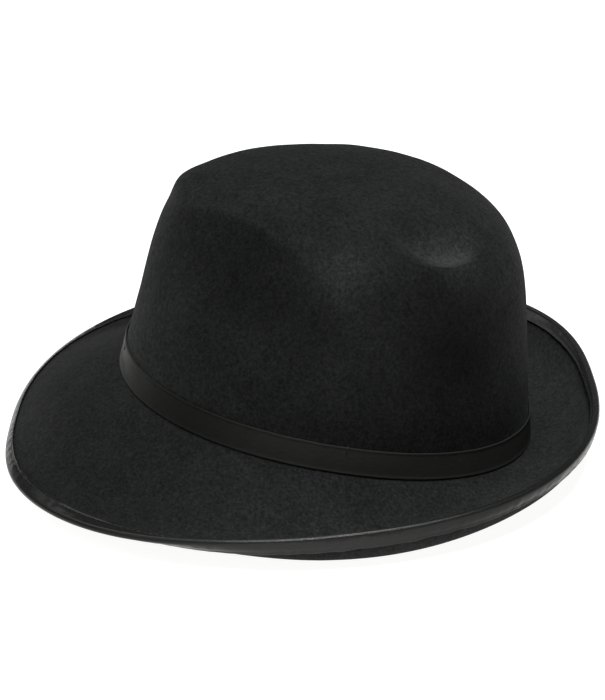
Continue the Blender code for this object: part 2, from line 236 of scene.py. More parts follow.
def brim(turns, back, lift):
    """Points on the brim: `back` is the distance in from the edge along the felt, negative beyond it, with a
    row for each turn, and `lift` is the height over the brim's upper face."""
    corner, outward = head_oval(turns)
    width = BRIM_WIDTH(turns)[:, None]
    root = np.radians(ROOT_SLOPE(turns))[:, None]
    edge = np.radians(EDGE_SLOPE(turns))[:, None]
    power = ROLL_POWER(turns)[:, None]
    steps = 256
    shares = np.linspace(0, 1, steps + 1)[None, :]
    middles = (shares[:, 1:] + shares[:, :-1]) / 2
    slopes = root + (edge - root) * middles**power
    start = np.zeros((len(turns), 1))
    out = np.concatenate([start, np.cumsum(np.cos(slopes), 1)], 1) * width / steps
    up = np.concatenate([start, np.cumsum(np.sin(slopes), 1)], 1) * width / steps
    share = 1 - back / width
    inner = np.clip(share, 0, 1)
    place = inner * steps
    low = np.minimum(place.astype(int), steps - 1)
    part = place - low
    rows = np.arange(len(turns))[:, None]
    out_at = out[rows, low] * (1 - part) + out[rows, low + 1] * part
    up_at = up[rows, low] * (1 - part) + up[rows, low + 1] * part
    slope = root + (edge - root) * inner**power
    beyond = (share - inner) * width
    out_at = out_at + beyond * np.cos(slope) - lift * np.sin(slope)
    up_at = up_at + beyond * np.sin(slope) + lift * np.cos(slope)
    points = corner[:, None, :] + outward[:, None, :] * out_at[..., None]
    points[..., 2] += up_at
    return points


def crown_points(turns, rise, reach):
    """Points of the crown's outer face from their share of the height and of the plan reach."""
    corner = head_oval(turns)[0]
    reach = reach * (1 - CROWN_TAPER(turns)[:, None] * rise)
    forward = -corner[:, None, 1] * reach / HALF_LENGTH
    height = CROWN_HEIGHT * rise * (1 - (CROWN_FALL + CROWN_DOME * forward) * forward * rise)
    return np.stack([corner[:, None, 0] * reach, corner[:, None, 1] * reach, height], -1)


def crown_grid(turns, rows):
    """The crown's outer face, as evenly spaced rows from the corner to just short of the top's middle."""
    angles = np.linspace(0, pi / 2, 361)[None, :]
    rise = np.sin(angles) ** (2 / CROWN_SQUARENESS(turns)[:, None])
    reach = np.maximum(np.cos(angles), 0) ** (2 / CROWN_ROUNDNESS) * np.ones_like(rise)
    fine = crown_points(turns, rise, reach)
    steps = np.linalg.norm(np.diff(fine, axis=1), axis=-1)
    lengths = np.concatenate([np.zeros((len(turns), 1)), np.cumsum(steps, 1)], 1)
    grid = np.empty((len(turns), rows, 3))
    for column, (points, length) in enumerate(zip(fine, lengths)):
        wanted = np.linspace(0, length[-1], rows + 1)[:-1]
        for axis in range(3):
            grid[column, :, axis] = np.interp(wanted, length, points[:, axis])
    return grid


def wall(turns, heights, insets):
    """Points at heights on the crown's wall, moved in from its outer face by the insets. Both may have a row
    for each turn."""
    corner, outward = head_oval(turns)
    squareness = CROWN_SQUARENESS(turns)[:, None]
    taper = CROWN_TAPER(turns)[:, None]
    heights = np.broadcast_to(heights, (len(turns), np.shape(heights)[-1]))

    def on_face(level):
        rise = level / CROWN_HEIGHT
        for _ in range(4):
            forward = -corner[:, None, 1] * (1 - taper * rise) / HALF_LENGTH
            rise = level / CROWN_HEIGHT / (1 - (CROWN_FALL + CROWN_DOME * forward) * forward * rise)
        reach = (1 - np.maximum(rise, 0) ** squareness) ** (1 / CROWN_ROUNDNESS)
        return crown_points(turns, rise, reach)

    step = 1.0 * MM
    climb = on_face(heights + step) - on_face(heights - step)
    out = (climb * outward[:, None, :]).sum(-1)
    away = outward[:, None, :] * climb[..., 2:]
    away[..., 2] -= out
    away /= np.linalg.norm(away, axis=-1, keepdims=True)
    return on_face(heights) - away * np.broadcast_to(insets, heights.shape)[..., None]


def unit(vector):
    return np.array(vector) / np.linalg.norm(vector)


def smooth(share):
    share = np.clip(share, 0, 1)
    return share * share * (3 - 2 * share)


def dent_share(points, dent, crispness=1.0, stretch=1.0):
    """How far each point is pressed, as a share of the dent's depth."""
    lip, push, along, half_length, ease, fade, bend = DENTS[dent][:7]
    half_length = half_length * stretch
    bend = bend * stretch**2
    push = unit(push)
    along = unit(np.array(along) - push * (np.array(along) @ push))
    across = np.cross(along, push)
    offset = (points - np.array(lip) * MM) / MM
    lengthwise = offset @ along / half_length
    from_lip = offset @ across + bend * lengthwise**2
    near = np.abs(offset @ push) < DENT_REACH / MM
    down = np.clip(from_lip * crispness / ease, 0, 1)
    floor = down * (2 - down) * (1 - smooth((from_lip - ease) / fade))
    return near * floor * (1 - np.minimum(lengthwise**2, 1)) ** 2


def pressed(points):
    """Crown points moved by the dents, each worked out on the crown as it was blocked."""
    moved = points.copy()
    for dent in DENTS:
        push, depth = DENTS[dent][1], DENTS[dent][7]
        moved += unit(push) * (depth * MM * dent_share(points, dent))[..., None]
    return moved


def ring_noise(turns, lowest, highest, seed):
    """A smooth closed wobble round the hat, about -1 to 1, of waves from the lowest to the highest count."""
    draw = np.random.default_rng(seed)
    waves = draw.integers(lowest, highest + 1, 9)
    phases = draw.uniform(0, tau, 9)
    return sum(np.cos(wave * turns + phase) for wave, phase in zip(waves, phases)) / 3


def ring_length(points):
    """The length of a closed line through the points."""
    return float(np.linalg.norm(np.roll(points, -1, 0) - points, axis=-1).sum())


def laid(points):
    """Points of the hat's level frame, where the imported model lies."""
    points = np.asarray(points)
    return ORIGIN + points[..., :1] * LEFT + points[..., 1:2] * BACK + points[..., 2:] * UP


# ---------------------------------------------------------------- meshes


def mesh_piece(name, points, faces, material, corners=None):
    mesh = bpy.data.meshes.new(name)
    mesh.from_pydata([tuple(point) for point in laid(points)], [], faces)
    if corners is not None:
        layer = mesh.uv_layers.new(name="along_and_across")
        layer.data.foreach_set("uv", np.asarray(corners, float).ravel())
    mesh.shade_smooth()
    mesh.materials.append(material)
    piece = bpy.data.objects.new(name, mesh)
    bpy.context.scene.collection.objects.link(piece)
    return piece


def loft(name, rings, material, closed=True):
    """A closed skin through cross-sections: rings[column, point]. An open loft gets end faces."""
    count, around = rings.shape[:2]
    steps = np.linalg.norm(np.roll(rings, -1, 0) - rings, axis=-1).mean(1)
    along = np.concatenate([[0], np.cumsum(steps)])
    sides = np.linalg.norm(np.roll(rings, -1, 1) - rings, axis=-1).mean(0)
    across = np.concatenate([[0], np.cumsum(sides)])
    faces, corners = [], []
    for column in range(count if closed else count - 1):
        after = (column + 1) % count
        for point in range(around):
            beside = (point + 1) % around
            near, far = column * around, after * around
            faces.append((near + point, far + point, far + beside, near + beside))
            u0, u1, v0, v1 = along[column], along[column + 1], across[point], across[point + 1]
            corners += [(u0, v0), (u1, v0), (u1, v1), (u0, v1)]
    if not closed:
        last = (count - 1) * around
        faces.append(tuple(range(around)))
        faces.append(tuple(last + point for point in reversed(range(around))))
        corners += [(0, value) for value in across[:-1]]
        corners += [(along[count - 1], value) for value in across[:-1][::-1]]
    return mesh_piece(name, rings.reshape(-1, 3), faces, material, corners)


def tube_rings(line, radius, sides, closed=True):
    """Cross-sections of a round thread along a line of points, for loft."""
    if closed:
        ahead = np.roll(line, -1, 0) - np.roll(line, 1, 0)
    else:
        ahead = np.gradient(line, axis=0)
    ahead /= np.linalg.norm(ahead, axis=-1, keepdims=True)
    across = np.cross(ahead, [0, 0, 1.0])
    across /= np.maximum(np.linalg.norm(across, axis=-1, keepdims=True), 1e-9)
    over = np.cross(across, ahead)
    angles = tau * np.arange(sides) / sides
    radius = np.broadcast_to(radius, len(line))[:, None, None]
    spokes = across[:, None] * np.cos(angles)[:, None] + over[:, None] * np.sin(angles)[:, None]
    return line[:, None] + spokes * radius


def stitches(name, line, length, gap, radius, lift, material):
    """A row of separate stitches along a closed line: each is a short thread that dips into the cloth at its
    ends. `lift` holds the direction out of the cloth at each point of the line."""
    steps = np.linalg.norm(np.roll(line, -1, 0) - line, axis=-1)
    along = np.concatenate([[0], np.cumsum(steps)])
    count = int(along[-1] / (length + gap))
    pitch = along[-1] / count
    closed_line = np.vstack([line, line[:1]])
    closed_lift = np.vstack([lift, lift[:1]])
    knots, sides = 7, 6
    shares = np.linspace(0, 1, knots)
    points, faces = [], []
    for number in range(count):
        places = (number + 0.5) * pitch + (shares - 0.5) * length
        path = np.stack([np.interp(places, along, closed_line[:, axis]) for axis in range(3)], -1)
        out = np.stack([np.interp(places, along, closed_lift[:, axis]) for axis in range(3)], -1)
        path = path + out * (radius * (1.15 * np.sin(pi * shares) - 0.35))[:, None]
        thick = radius * (0.35 + 0.65 * np.sin(pi * np.clip(shares, 0.04, 0.96)) ** 0.5)
        rings = tube_rings(path, thick, sides, closed=False)
        base = len(points)
        points += list(rings.reshape(-1, 3))
        for knot in range(knots - 1):
            for side in range(sides):
                beside = (side + 1) % sides
                low, high = base + knot * sides, base + (knot + 1) * sides
                faces.append((low + side, high + side, high + beside, low + beside))
        faces.append(tuple(base + side for side in range(sides)))
        faces.append(tuple(base + (knots - 1) * sides + side for side in reversed(range(sides))))
    return mesh_piece(name, np.array(points), faces, material)


def set_shade(piece, values):
    """How much lighter or darker each point of a piece is painted, painted light and painted shade, as its
    material reads it.
    """
    layer = piece.data.attributes.new("shade", "FLOAT", "POINT")
    layer.data.foreach_set("value", np.ravel(values))


def set_outward(piece):
    shape = bmesh.new()
    shape.from_mesh(piece.data)
    bmesh.ops.recalc_face_normals(shape, faces=shape.faces)
    shape.to_mesh(piece.data)
    shape.free()
    return piece


def settle(piece, slot, *nodes):
    """Every piece is sewn to the one body and stands for its nodes, whose imported parts it hides; the slot is
    not used.
    """
    set_outward(piece)
    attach(piece, "root")
    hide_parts(*nodes)
    return piece


# ---------------------------------------------------------------- materials


class Nodes:
    """A material's node tree, with one call for each node: values and links go in by socket name."""

    def __init__(self, name):
        self.material = bpy.data.materials.new(name)
        self.material.use_nodes = True
        self.tree = self.material.node_tree
        self.shader = self.tree.nodes["Principled BSDF"]

    def put(self, node, socket, value):
        entry = node.inputs[socket]
        if isinstance(value, bpy.types.NodeSocket):
            self.tree.links.new(value, entry)
        else:
            entry.default_value = value

    def add(self, kind, out=0, sockets=None, **settings):
        node = self.tree.nodes.new(kind)
        for key, value in settings.items():
            setattr(node, key, value)
        for socket, value in (sockets or {}).items():
            self.put(node, socket, value)
        return node.outputs[out]

    def place(self, scale=(1, 1, 1), source="Object"):
        """Texture coordinates in metres, stretched by scale."""
        place = self.add("ShaderNodeTexCoord", source)
        return self.add("ShaderNodeMapping", sockets={"Vector": place, "Scale": scale})

    def noise(self, place, scale, detail=4.0, roughness=0.6, distortion=0.0):
        values = {"Vector": place, "Scale": scale, "Detail": detail}
        values |= {"Roughness": roughness, "Distortion": distortion}
        return self.add("ShaderNodeTexNoise", "Fac", values)

    def ramp(self, factor, low, high, start, end):
        """A colour from low to high as the factor goes from start to end."""
        mixed = {"Value": factor, "From Min": start, "From Max": end}
        share = self.add("ShaderNodeMapRange", "Result", mixed)
        return self.mix(share, (*low, 1), (*high, 1))

    def mix(self, share, low, high):
        node = self.tree.nodes.new("ShaderNodeMix")
        node.data_type = "RGBA"
        self.put(node, 0, share)
        self.put(node, 6, low)
        self.put(node, 7, high)
        return node.outputs[2]

    def shade(self):
        """How much lighter or darker the piece is painted at each point, painted light and painted shade, as
        set_shade wrote it.
        """
        return self.add("ShaderNodeAttribute", "Fac", attribute_name="shade")

    def scaled(self, colour, share):
        values = {"Vector": colour, "Scale": share}
        return self.add("ShaderNodeVectorMath", "Vector", values, operation="SCALE")

    def number(self, factor, start, end, low, high):
        values = {"Value": factor, "From Min": start, "From Max": end, "To Min": low, "To Max": high}
        return self.add("ShaderNodeMapRange", "Result", values)

    def math(self, operation, first, second=0.0):
        return self.add("ShaderNodeMath", "Value", {0: first, 1: second}, operation=operation)

    def bump(self, height, strength, distance, under=None):
        values = {"Height": height, "Strength": strength, "Distance": distance}
        if under is not None:
            values["Normal"] = under
        return self.add("ShaderNodeBump", "Normal", values)

    def finish(self, **values):
        for socket, value in values.items():
            self.put(self.shader, socket.replace("_", " "), value)
        return self.material


def felt_material():
    """Matt black fur felt: matted fibres, a soft raised pile that brightens at a glancing angle, faint
    mottling. Its colour is painted lighter or darker by the piece's shade attribute: painted light and painted
    shade."""
    felt = Nodes("black_felt")
    place = felt.place()
    drift = felt.noise(place, 45, 3, 0.6)
    mottle = felt.noise(place, 420, 3, 0.65, 0.6)
    fibres = felt.noise(place, 1900, 4, 0.75, 2.2)
    dark = felt.ramp(fibres, (0.0040, 0.0043, 0.0042), (0.0145, 0.0153, 0.0150), 0.30, 0.72)
    light = felt.ramp(fibres, (0.0075, 0.0080, 0.0078), (0.0200, 0.0210, 0.0205), 0.30, 0.72)
    tone = felt.math("ADD", felt.math("MULTIPLY", drift, 0.5), felt.math("MULTIPLY", mottle, 0.5))
    colour = felt.mix(felt.number(tone, 0.38, 0.62, 0.0, 1.0), dark, light)
    flecks = felt.number(felt.noise(place, 650, 3, 0.72, 0.4), 0.30, 0.70, 0.50, 1.54)
    colour = felt.scaled(colour, felt.math("MULTIPLY", flecks, felt.shade()))
    normal = felt.bump(mottle, 0.5, 0.35 * MM)
    normal = felt.bump(fibres, 0.8, 0.22 * MM, normal)
    sheen = felt.number(mottle, 0.3, 0.7, 0.016, 0.048)
    return felt.finish(
        Base_Color=colour,
        Roughness=0.96,
        Specular_IOR_Level=0.03,
        Sheen_Weight=sheen,
        Sheen_Roughness=0.45,
        Sheen_Tint=(0.9, 0.95, 0.92, 1),
        Normal=normal,
    )


def ribbon_material(name, tone, roughness, shine):
    """Black satin ribbon: long floats along it, fine picks across, a soft shine drawn out across its length.
    Its colour and shine are painted darker or lighter by the piece's shade attribute, painted shade and
    painted highlight."""
    ribbon = Nodes(name)
    floats = ribbon.noise(ribbon.place((220, 7500, 1), "UV"), 1.0, 3, 0.6)
    picks = ribbon.noise(ribbon.place((5200, 500, 1), "UV"), 1.0, 2, 0.5)
    worn = ribbon.noise(ribbon.place((60, 160, 1), "UV"), 1.0, 3, 0.6)
    bright = tuple(value * 2.0 for value in tone)
    colour = ribbon.ramp(floats, tone, bright, 0.35, 0.75)
    shade = ribbon.shade()
    colour = ribbon.scaled(colour, shade)
    height = ribbon.math("ADD", ribbon.math("MULTIPLY", floats, 0.7), ribbon.math("MULTIPLY", picks, 0.3))
    return ribbon.finish(
        Base_Color=colour,
        Roughness=ribbon.number(worn, 0.3, 0.7, roughness - 0.06, roughness + 0.10),
        Specular_IOR_Level=ribbon.math("MULTIPLY", shade, shine),
        Anisotropic=0.45,
        Normal=ribbon.bump(height, 0.35, 0.08 * MM),
    )


def thread_material():
    """Twisted sewing thread."""
    thread = Nodes("black_thread")
    twist = thread.noise(thread.place((1, 1, 1)), 4200, 2, 0.5, 1.5)
    colour = thread.ramp(twist, (0.006, 0.006, 0.006), (0.026, 0.026, 0.025), 0.35, 0.65)
    return thread.finish(Base_Color=colour, Roughness=0.55, Normal=thread.bump(twist, 0.6, 0.08 * MM))


def leather_material():
    """Smooth black sweatband leather: fine grain with pores, a little shine where it has been rubbed."""
    leather = Nodes("sweatband_leather")
    place = leather.place()
    spread = {"Vector": place, "Scale": 1100, "Randomness": 1.0}
    cells = leather.add("ShaderNodeTexVoronoi", "Distance", spread, feature="SMOOTH_F1")
    creases = leather.noise(place, 240, 4, 0.6, 0.8)
    drift = leather.noise(place, 30, 3, 0.6)
    colour = leather.ramp(drift, (0.010, 0.009, 0.008), (0.022, 0.019, 0.017), 0.35, 0.65)
    normal = leather.bump(creases, 0.25, 0.2 * MM)
    normal = leather.bump(cells, 0.35, 0.12 * MM, normal)
    rough = leather.number(drift, 0.3, 0.7, 0.38, 0.55)
    return leather.finish(Base_Color=colour, Roughness=rough, Normal=normal)


def satin_material():
    """Black lining satin: fine twill lines and a broad soft shine."""
    satin = Nodes("lining_satin")
    weave = satin.noise(satin.place((900, 6500, 1), "UV"), 1.0, 2, 0.5)
    drift = satin.noise(satin.place(), 26, 3, 0.6)
    colour = satin.ramp(weave, (0.010, 0.010, 0.012), (0.024, 0.024, 0.028), 0.3, 0.7)
    return satin.finish(
        Base_Color=colour,
        Roughness=satin.number(drift, 0.3, 0.7, 0.28, 0.42),
        Sheen_Weight=0.08,
        Normal=satin.bump(weave, 0.3, 0.06 * MM),
    )


def tape_material(name, low, high):
    """Plain woven cotton: warp and weft that cross at a right angle."""
    tape = Nodes(name)
    place = tape.place((1, 1, 1), "UV")
    spread = {"Vector": place, "Scale": 420, "Distortion": 0.6}
    warp = tape.add("ShaderNodeTexWave", "Fac", spread, bands_direction="X")
    weft = tape.add("ShaderNodeTexWave", "Fac", spread, bands_direction="Y")
    height = tape.math("MULTIPLY", warp, weft)
    colour = tape.ramp(height, low, high, 0.1, 0.8)
    return tape.finish(Base_Color=colour, Roughness=0.85, Normal=tape.bump(height, 0.6, 0.12 * MM))


def steel_material():
    """Drawn steel wire with faint lengthwise lines."""
    steel = Nodes("drawn_steel")
    lines = steel.noise(steel.place((300, 9000, 1), "UV"), 1.0, 3, 0.6)
    colour = steel.ramp(lines, (0.30, 0.30, 0.30), (0.55, 0.55, 0.55), 0.3, 0.7)
    rough = steel.number(lines, 0.3, 0.7, 0.25, 0.45)
    normal = steel.bump(lines, 0.3, 0.03 * MM)
    return steel.finish(Base_Color=colour, Roughness=rough, Metallic=1.0, Normal=normal)


def plastic_material():
    """The reed's milky plastic."""
    plastic = Nodes("milky_plastic")
    haze = plastic.noise(plastic.place(), 500, 3, 0.6)
    colour = plastic.ramp(haze, (0.42, 0.42, 0.40), (0.56, 0.56, 0.53), 0.3, 0.7)
    return plastic.finish(Base_Color=colour, Roughness=0.4, Transmission_Weight=0.25, IOR=1.49)


# ---------------------------------------------------------------- the pieces


def make_felt(material):
    """Crown and brim blocked from one hood, with a slightly uneven hand-finished face."""
    turns = along_ring(FELT_COLUMNS)
    width = BRIM_WIDTH(turns)[:, None]
    shares = np.linspace(0, 1, BRIM_ROWS + 1)[:-1]
    brim_rows = brim(turns, width * shares, 0.0)
    blocked_rows = crown_grid(turns, CROWN_ROWS)
    crown_rows = pressed(blocked_rows)
    grid = np.concatenate([brim_rows, crown_rows], 1)
    top = pressed(np.array([[0.0, 0.0, CROWN_HEIGHT]]))
    columns, rows = grid.shape[:2]
    faces = []
    for column in range(columns):
        after = (column + 1) % columns
        for row in range(rows - 1):
            near, far = column * rows + row, after * rows + row
            faces.append((near, far, far + 1, near + 1))
        faces.append((column * rows + rows - 1, after * rows + rows - 1, columns * rows))
    points = np.vstack([grid.reshape(-1, 3), top])
    points = uneven(points)
    felt = mesh_piece("felt_hood", points, faces, material)
    # Painted light and shade in the felt's colour: the brim darker in front and lighter toward the sides and
    # back, the crown lighter or darker at the listed spots and on the dents' floors, and the top's point a
    # little lighter
    painted_light = np.ones(grid.shape[:2])
    sides = degrees_from_front(turns)
    painted_light[:, : brim_rows.shape[1]] = 0.80 + 0.62 * smooth((sides - 35) / 55)
    crown_painted_light = painted_light[:, brim_rows.shape[1] :]
    for place, reach, change in PAINTED_LIGHT_SPOTS:
        distance = np.linalg.norm(crown_rows - np.array(place) * MM, axis=-1)
        crown_painted_light += change * np.exp(-((distance / (reach * MM)) ** 2))
    for dent, (change, crispness, stretch) in DENT_PAINTED_LIGHT.items():
        crown_painted_light += change * dent_share(blocked_rows, dent, crispness, stretch)
    set_shade(felt, np.append(painted_light.ravel(), 1.1))
    thickness = felt.modifiers.new("thickness", "SOLIDIFY")
    thickness.thickness = FELT
    thickness.offset = -1.0
    thickness.use_even_offset = True
    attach(felt, "root")
    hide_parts("felt_body")
    return felt


def uneven(points):
    """Slight unevenness of blocked felt, none of it near the ribbons."""
    heights = points[:, 2]
    reach = np.hypot(points[:, 0] / HALF_WIDTH, points[:, 1] / HALF_LENGTH)
    on_crown = np.clip((heights - 22 * MM) / (14 * MM), 0, 1)
    past_band = np.clip((reach - 1.12) / 0.12, 0, 1)
    inside_binding = np.clip((1.50 - reach) / 0.12, 0, 1)
    on_brim = past_band * inside_binding * (heights < 20 * MM)
    weight = np.maximum(on_crown, on_brim)
    moved = points.copy()
    for number in np.nonzero(weight)[0]:
        place = Vector(points[number])
        swell = 0.55 * MM * noise.noise(place * 28) + 0.22 * MM * noise.noise(place * 75 + Vector((7, 3, 1)))
        away = place - Vector((0, 0, 0.045)) if on_crown[number] > 0 else Vector((0, 0, 1))
        moved[number] += np.array(away.normalized()) * swell * weight[number]
    return moved


def make_binding(ribbon, steel, thread):
    """The ribbon folded over the brim's edge: selvedges, a full round nose over the wire, slight puckers."""
    turns = along_ring(BINDING_COLUMNS)
    ones = np.ones((len(turns), 1))
    pucker = 0.10 * MM * (ring_noise(turns, 60, 190, 5) + ring_noise(turns, 8, 40, 6))[:, None]
    sway = 0.22 * MM * ring_noise(turns, 10, 70, 7)[:, None]
    inner = GAP
    outer = GAP + BINDING_THICKNESS
    reach = np.array([1.0, 0.97, 0.90, 0.82, 0.70, 0.52, 0.34, 0.16, 0.0])
    pillow = np.array([0.10, 0.24, 0.20, 0.02, -0.04, 0.06, 0.10, 0.06, 0.0]) * MM
    middle = -FELT / 2
    outer_radius = FELT / 2 + outer
    inner_radius = FELT / 2 + inner
    bow = np.radians(np.arange(75, -76, -15))
    back, lift = [], []
    for share, puff in zip(reach, pillow):
        back.append(share * (BINDING_WIDTH + sway))
        lift.append((outer + puff) * ones + pucker * (0.25 + share * (1 - share) * 3) * (share > 0))
    for angle in bow:
        back.append(-(BINDING_NOSE + outer_radius * cos(angle)) * ones)
        lift.append((middle + outer_radius * sin(angle)) * ones)
    for share, puff in zip(reach[::-1], pillow[::-1]):
        back.append(share * (BINDING_WIDTH + sway))
        lift.append((-FELT - outer - puff) * ones - pucker * (0.25 + share * (1 - share) * 3) * (share > 0))
    for share in (1.0, 0.5, 0.0):
        back.append(share * (BINDING_WIDTH + sway))
        lift.append((-FELT - inner) * ones)
    for angle in bow[::-1]:
        back.append(-(BINDING_NOSE + inner_radius * cos(angle)) * ones)
        lift.append((middle + inner_radius * sin(angle)) * ones)
    for share in (0.0, 0.5, 1.0):
        back.append(share * (BINDING_WIDTH + sway))
        lift.append(inner * ones)
    rings = brim(turns, np.hstack(back), np.hstack(lift))
    binding = settle(loft("brim_ribbon", rings, ribbon), "ribbon", "brim_binding")
    # Painted shade on the binding's colour and shine except round the sides and the back, and a painted
    # highlight on its upper face toward the back
    sides = degrees_from_front(turns)
    painted_lit = np.exp(-(((sides - 90) / 34) ** 2)) + np.exp(-(((sides - 180) / 30) ** 2))
    upper_face = np.arange(rings.shape[1]) < len(reach)
    painted_highlight = BINDING_PAINTED_HIGHLIGHT * smooth((sides - 95) / 30) * upper_face
    set_shade(binding, BINDING_PAINTED_SHADE + (1 - BINDING_PAINTED_SHADE) * painted_lit + painted_highlight)
    wire = brim(along_ring(TUBE_COLUMNS), np.full((TUBE_COLUMNS, 1), -WIRE_REACH), middle)[:, 0]
    settle(loft("edge_wire", tube_rings(wire, WIRE_RADIUS, 10), steel), "wire", "brim_wire")
    back = np.full((THREAD_COLUMNS, 2), BINDING_WIDTH - BINDING_STITCH_INSET)
    height = outer + 0.10 * MM
    lines = brim(along_ring(THREAD_COLUMNS), back, np.array([height, height + MM]))
    out = (lines[:, 1] - lines[:, 0]) / MM
    spacing = (BINDING_STITCH, BINDING_STITCH_GAP)
    row = stitches("binding_stitches", lines[:, 0], *spacing, THREAD_RADIUS, out, thread)
    settle(row, "thread", "binding_stitching")
    length = ring_length(brim(turns, np.zeros((len(turns), 1)), 0.0)[:, 0])


def ribbon_section(bottom, top, face, thickness):
    """Heights and outward offsets round a ribbon's cross-section: corded selvedges and a nearly flat face."""
    width = top - bottom
    lower = np.array([0.0, 0.015, 0.035, 0.06, 0.085, 0.15, 0.3])
    lower_puff = np.array([0.02, 0.14, 0.20, 0.14, 0.0, 0.0, 0.03]) * MM
    shares = np.concatenate([lower, [0.5], 1 - lower[::-1]])
    puff = np.concatenate([lower_puff, [0.05 * MM], lower_puff[::-1]])
    heights = bottom + width * shares
    outer = face + thickness + puff
    inner = np.full(5, face)
    inner_heights = np.linspace(top, bottom, 5)
    return np.concatenate([heights, inner_heights]), np.concatenate([outer, inner])


def make_band(ribbon, thread):
    """The satin ribbon round the crown; it stands a little off the felt in front, and laps on the right."""
    turns = along_ring(BAND_COLUMNS)
    heights, out = ribbon_section(BAND_BOTTOM, BAND_TOP, GAP, BAND_THICKNESS)
    share = (heights - BAND_BOTTOM) / (BAND_TOP - BAND_BOTTOM)
    wobble = 0.12 * MM * (1 + ring_noise(turns, 9, 40, 11))[:, None] * share
    rings = wall(turns, heights, -(out + wobble))
    band = settle(loft("crown_ribbon", rings, ribbon), "ribbon", "hat_band")
    # Painted shade on the band's colour and shine round either side of the front
    sides = degrees_from_front(turns)
    painted_band_shade = 1 - BAND_PAINTED_SHADE * np.exp(-(((sides - BAND_PAINTED_SHADE_MIDDLE) / BAND_PAINTED_SHADE_REACH) ** 2))
    set_shade(band, painted_band_shade * np.ones(rings.shape[:2]))
    lap_turns = np.radians(np.linspace(*LAP_TURNS, LAP_COLUMNS))
    lap_face = 2 * GAP + BAND_THICKNESS + 0.3 * MM
    lap_heights, lap_out = ribbon_section(BAND_BOTTOM, BAND_TOP, lap_face, BAND_THICKNESS)
    rings = wall(lap_turns, lap_heights, -lap_out)
    lap = settle(loft("crown_ribbon_lap", rings, ribbon, closed=False), "ribbon", "band_overlap")
    set_shade(lap, np.ones(rings.shape[:2]))
    for side, degrees in TACK_TURNS.items():
        path = wall(np.radians([degrees]), BAND_TOP + TACK_LEVELS, -TACK_LIFTS)[0]
        rings = tube_rings(path, THREAD_RADIUS, 8, closed=False)
        tack = loft(f"band_stitch_{side}", rings, thread, closed=False)
        settle(tack, "thread", f"band_tack_{side}")
    length = float(np.linalg.norm(np.diff(wall(turns, [[7 * MM]], [[0]])[:, 0], axis=0), axis=-1).sum())


def smooth_line(points, count):
    """Evenly spread points on a smooth curve through the given ones."""
    points = np.asarray(points, float)
    padded = np.vstack([2 * points[0] - points[1], points, 2 * points[-1] - points[-2]])
    fine = []
    for first, start, end, last in zip(padded, padded[1:], padded[2:], padded[3:]):
        for share in np.linspace(0, 1, 12, endpoint=False):
            square = 2 * first - 5 * start + 4 * end - last
            cube = 3 * start - first - 3 * end + last
            place = 2 * start + (end - first) * share + square * share**2 + cube * share**3
            fine.append(place / 2)
    fine = np.array(fine + [points[-1]])
    along = np.concatenate([[0], np.cumsum(np.linalg.norm(np.diff(fine, axis=0), axis=-1))])
    wanted = np.linspace(0, along[-1], count)
    return np.stack([np.interp(wanted, along, fine[:, axis]) for axis in range(2)], -1)


def strip_section(line, thickness):
    """The closed outline of a strip of that thickness along a line in a plane, with rounded ends."""
    ahead = np.gradient(line, axis=0)
    ahead /= np.linalg.norm(ahead, axis=-1, keepdims=True)
    side = np.stack([-ahead[:, 1], ahead[:, 0]], -1) * thickness / 2
    tip = line[-1] + ahead[-1] * thickness * 0.4
    root = line[0] - ahead[0] * thickness * 0.4
    return np.vstack([line + side, tip, (line - side)[::-1], root])


def wall_strip(name, turns, line, thickness, material, sway=0.0, closed=True):
    """A strip sewn round the inside of the crown: its line holds insets and heights."""
    section = strip_section(np.asarray(line, float), thickness)
    return loft(name, wall(turns, section[:, 1], section[:, 0] + sway), material, closed)


def make_sweatband(leather, plastic, tape, thread):
    """The leather band that meets the head: hemmed round a reed, over a tape, stitched above the hem."""
    turns = along_ring(TUBE_COLUMNS)
    hem = [(inset * MM, height * MM) for inset, height in SWEATBAND_HEM]
    straight = [(SWEATBAND_INSET, 14 * MM), (SWEATBAND_INSET, 24 * MM), (SWEATBAND_INSET, SWEATBAND_TOP)]
    line = smooth_line(hem + straight, 44)
    heights = strip_section(line, SWEATBAND_THICKNESS)[:, 1]
    rise = np.clip((heights - SWEATBAND_SWAY_FROM) / (SWEATBAND_TOP - SWEATBAND_SWAY_FROM), 0, 1)
    sway = SWEATBAND_SWAY * (1 + ring_noise(turns, 3, 14, 21))[:, None] * rise**2
    band = wall_strip("sweatband_leather", turns, line, SWEATBAND_THICKNESS, leather, sway)
    settle(band, "sweatband", "sweatband")
    reed = wall(turns, [REED_HEIGHT], REED_INSET)[:, 0]
    settle(loft("reed", tube_rings(reed, REED_RADIUS, 10), plastic), "reed", "sweatband_reed")
    inset = FELT + GAP + CLOTH / 2
    edges = np.linspace((inset, TAPE_BOTTOM), (inset, TAPE_TOP), 5)
    settle(wall_strip("woven_reed_tape", turns, edges, CLOTH, tape), "tape", "reed_tape")
    face = SWEATBAND_INSET + SWEATBAND_THICKNESS / 2 + 0.12 * MM
    pair = wall(along_ring(THREAD_COLUMNS), [STITCH_HEIGHT, STITCH_HEIGHT], [face, face + MM])
    out = (pair[:, 1] - pair[:, 0]) / MM
    spacing = (SWEATBAND_STITCH, SWEATBAND_STITCH_GAP)
    row = stitches("sweatband_stitches", pair[:, 0], *spacing, SWEATBAND_THREAD, out, thread)
    settle(row, "thread", "sweatband_stitching")
    length = ring_length(wall(turns, [15 * MM], SWEATBAND_INSET)[:, 0])


def wall_patch(name, turn, width, span, inset, material, wave=0.0):
    """A small flat piece of cloth against the inside of the crown, over a span of heights."""
    reach = np.linalg.norm(head_oval(np.array([turn]))[0])
    turns = turn + np.linspace(-1, 1, 15) * width / 2 / reach
    line = np.linspace((inset, span[0]), (inset, span[1]), 9)
    sway = wave * (np.linspace(-1, 1, 15)[:, None] ** 2 - 0.5)
    return wall_strip(name, turns, line, CLOTH, material, sway, closed=False)


